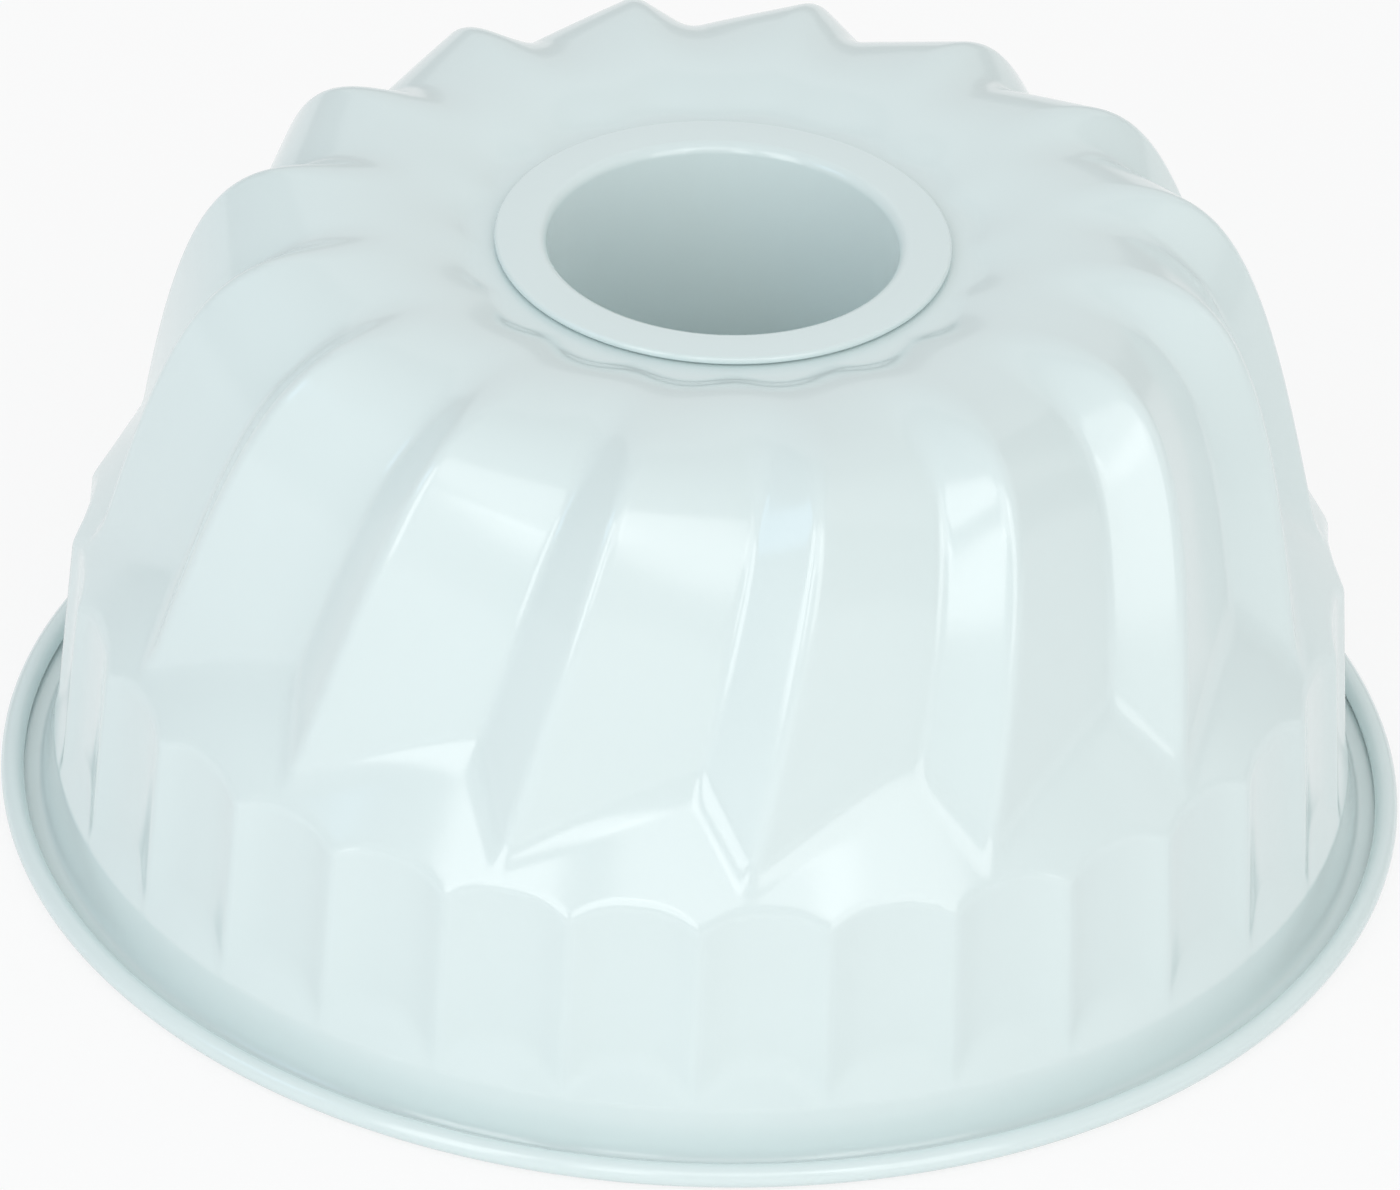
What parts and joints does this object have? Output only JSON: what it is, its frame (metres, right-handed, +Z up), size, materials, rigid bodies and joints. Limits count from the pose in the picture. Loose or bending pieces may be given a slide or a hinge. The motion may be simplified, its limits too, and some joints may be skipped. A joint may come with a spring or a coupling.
{
  "type": "kugelhopf pan",
  "caption": "Small coated-steel kugelhopf pan with leaning flutes, a scalloped band, a rolled rim and an open centre tube, standing on its rim.",
  "frame": {"origin": "centre of the rim's underside, on the surface that the pan stands on", "axes": "+Z up along the pan's axis, from the rim toward the fluted crown"},
  "size_m": [0.16, 0.16, 0.0745],
  "materials": {
    "mint_coat": "satin",
    "steel_wire": "drawn"
  },
  "bodies": {
    "root": {"fluted_body": "mint_coat", "centre_tube": "mint_coat", "rim_wire": "steel_wire"}
  },
  "joints": []
}
